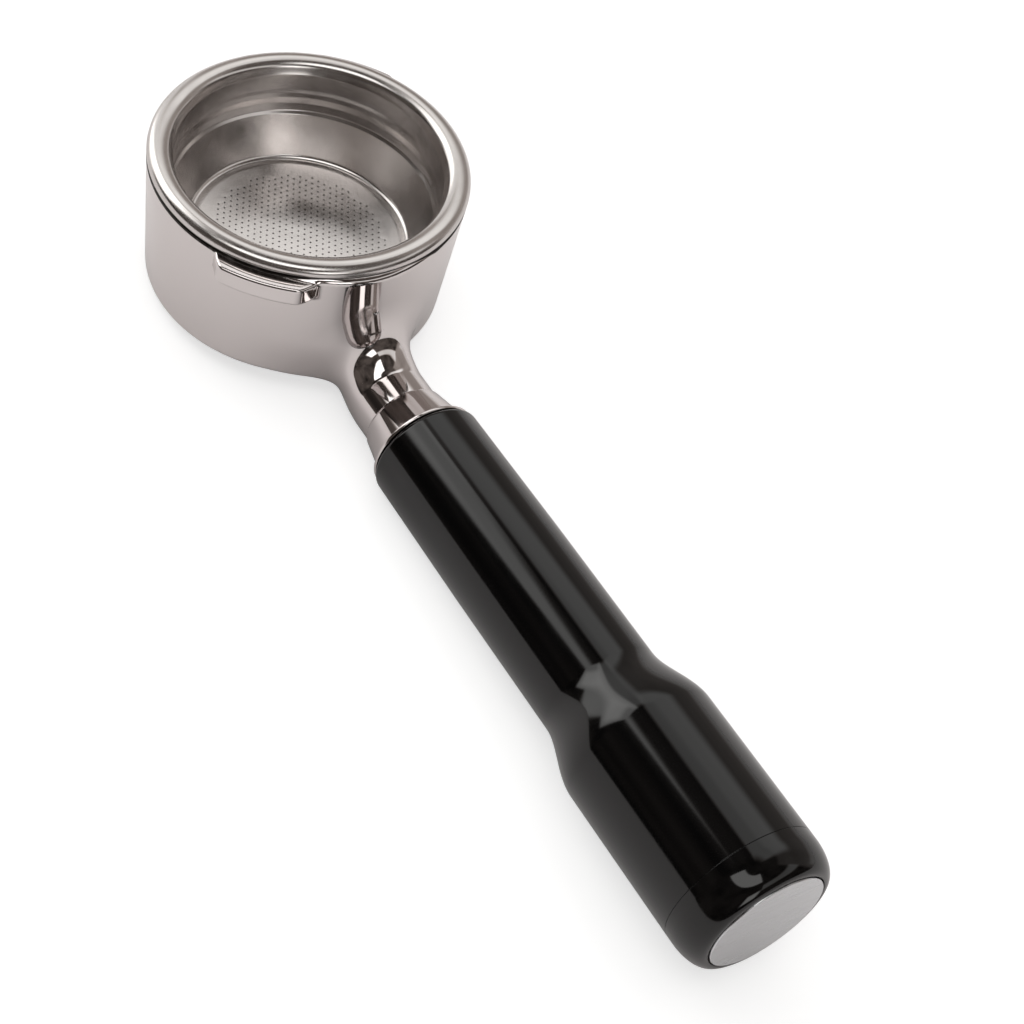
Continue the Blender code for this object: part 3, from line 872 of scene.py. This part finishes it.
def floor_material():
    """White to the camera; greyer in reflections, with painted shade in them round the neck."""
    material = bpy.data.materials.new("table_paper")
    material.use_nodes = True
    t = Tree(material.node_tree)
    t.tree.nodes.clear()
    grain = t.add("ShaderNodeTexNoise", {"Scale": 60.0, "Detail": 4.0}).outputs["Fac"]
    shade = t.range(grain, 0.3, 0.7, 0.48, 0.52)
    paper = t.add("ShaderNodeBsdfDiffuse", {"Color": shade}).outputs[0]
    glow = t.add("ShaderNodeEmission", {"Color": (1, 1, 1), "Strength": 0.66}).outputs[0]
    seen = t.add("ShaderNodeAddShader", {0: glow, 1: paper}).outputs[0]
    place = t.add("ShaderNodeTexCoord", {}).outputs["Object"]
    split = t.add("ShaderNodeSeparateXYZ", {0: place}).outputs
    across = t.math("POWER", split[0], 2.0)
    along = t.math("POWER", t.math("ADD", split[1], NECK_SHADE_PLACE * MM), 2.0)
    apart = t.math("SQRT", t.math("ADD", across, along))
    # Painted shade: the table is darker in reflections near the neck, as if shaded by the handle.
    near = t.range(apart, NECK_SHADE_START * MM, NECK_SHADE_END * MM, 0.0, 1.0, "SMOOTHSTEP")
    tone = t.mix_color(near, (0.56, 0.54, 0.54), (0.82, 0.80, 0.80))
    grey = t.add("ShaderNodeBsdfDiffuse", {"Color": tone}).outputs[0]
    camera = t.add("ShaderNodeLightPath", {}).outputs["Is Camera Ray"]
    mixed = t.add("ShaderNodeMixShader", {0: camera, 1: grey, 2: seen}).outputs[0]
    t.add("ShaderNodeOutputMaterial", {"Surface": mixed})
    return material


# What the mirror-like surfaces see: (azimuths, elevations, edge width, radiance), angles in degrees.
# Azimuth 0 is behind the cup, at +Y, and 90 is at +X. A window that reaches past 180 ends sharply there.
WINDOWS = {
    "tall window": ((-46, -2), (20, 61), 5, 1.5),
    "foot of the tall window": ((-31, -2), (-6, 20), 5, 1.5),
    "middle of the tall window": ((-41, -10), (24, 48), 12, 1.2),
    "edge of the curtain": ((-12, 16), (-4, 58), 10, 0.7),
    "high softbox": ((-178, -76), (55, 75), 2, 2.0),
    "pale wall": ((12, 118), (-8, 60), 8, 0.26),
    "pale wall by the table": ((40, 110), (-20, 8), 8, 0.35),
    "ceiling panel": ((14, 84), (38, 78), 14, 0.8),
    "lamp behind the camera": ((-178, -158), (10, 30), 6, 2.2),
    "curtain past the handle": ((116, 190), (27, 44), 6, 0.7),
}
ROOM = 0.055


def make_world():
    """A dim warm room with windows; plain and pale where the camera sees past the table."""
    world = bpy.data.worlds.new("studio")
    bpy.context.scene.world = world
    world.use_nodes = True
    t = Tree(world.node_tree)
    direction = t.add("ShaderNodeTexCoord", {}).outputs["Generated"]
    split = t.add("ShaderNodeSeparateXYZ", {0: direction}).outputs
    azimuth = t.math("DEGREES", t.math("ARCTAN2", split[0], split[1]))
    elevation = t.math("DEGREES", t.math("ARCSINE", split[2]))
    clutter = t.add("ShaderNodeTexNoise", {"Scale": 2.6, "Detail": 3.0}).outputs["Fac"]
    total = t.range(clutter, 0.35, 0.65, ROOM * 0.35, ROOM * 1.9)
    for azimuths, elevations, edge, radiance in WINDOWS.values():
        inside = radiance
        for angle, (low, high) in ((azimuth, azimuths), (elevation, elevations)):
            for limit, outside in ((low, -1), (high, 1)):
                start, end = limit + outside * edge / 2, limit - outside * edge / 2
                inside = t.math("MULTIPLY", inside, t.range(angle, start, end, 0.0, 1.0, "SMOOTHSTEP"))
        total = t.math("ADD", total, inside)
    warmth = t.range(total, 0.05, 0.8, 0.0, 1.0)
    tint = t.mix_color(warmth, (1.0, 0.84, 0.75), (1.0, 0.99, 0.97))
    light = t.add("ShaderNodeVectorMath", {0: tint, "Scale": total}, operation="SCALE").outputs[0]
    camera = t.add("ShaderNodeLightPath", {}).outputs["Is Camera Ray"]
    seen = t.mix_color(camera, light, (BACKDROP, BACKDROP, BACKDROP))
    t.join(t.tree.nodes["Background"].inputs["Color"], seen)


def make_light():
    """A large soft light straight above, which the mirrors don't show."""
    light = bpy.data.lights.new("overhead", "AREA")
    light.size = OVERHEAD_SIZE
    light.energy = OVERHEAD_RADIANCE * math.pi * OVERHEAD_SIZE**2
    made = bpy.data.objects.new("overhead", light)
    made.location.z = OVERHEAD_HEIGHT
    made.visible_glossy = False
    bpy.context.scene.collection.objects.link(made)


def make_camera():
    """The photograph's viewpoint, rolled a little about its axis."""
    data = bpy.data.cameras.new("camera")
    data.lens = CAMERA_LENS
    data.sensor_width = 36
    data.clip_start = 0.01
    camera = bpy.data.objects.new("camera", data)
    a, e = CAMERA_AZIMUTH, CAMERA_ELEVATION
    back = Vector((math.sin(a) * math.cos(e), -math.cos(a) * math.cos(e), math.sin(e)))
    right = Vector((math.cos(a), math.sin(a), 0))
    up = back.cross(right)
    rolled = right * math.cos(CAMERA_ROLL) + up * math.sin(CAMERA_ROLL)
    up = back.cross(rolled)
    axes = Matrix((rolled, up, back)).transposed()
    camera.matrix_world = Matrix.Translation(CAMERA_PLACE) @ axes.to_4x4()
    bpy.context.scene.collection.objects.link(camera)
    bpy.context.scene.camera = camera


def build():
    chrome = chrome_material()
    steel = steel_material()
    zinc = zinc_material()
    plastic = plastic_material()
    rubber = rubber_material()
    aluminium = aluminium_material()
    make_body(chrome)
    make_basket(steel)
    make_spring(zinc)
    make_ring(chrome)
    make_grip(plastic)
    make_cap(plastic)
    make_disc(aluminium)
    set_slots(rubber, "front_seal")
    set_slots(zinc, "tie_rod", "rod_washer", "lock_washer", "rod_nut")
    make_floor()
    make_world()
    make_light()
    make_camera()
    bpy.context.scene.view_settings.view_transform = "Standard"


build()
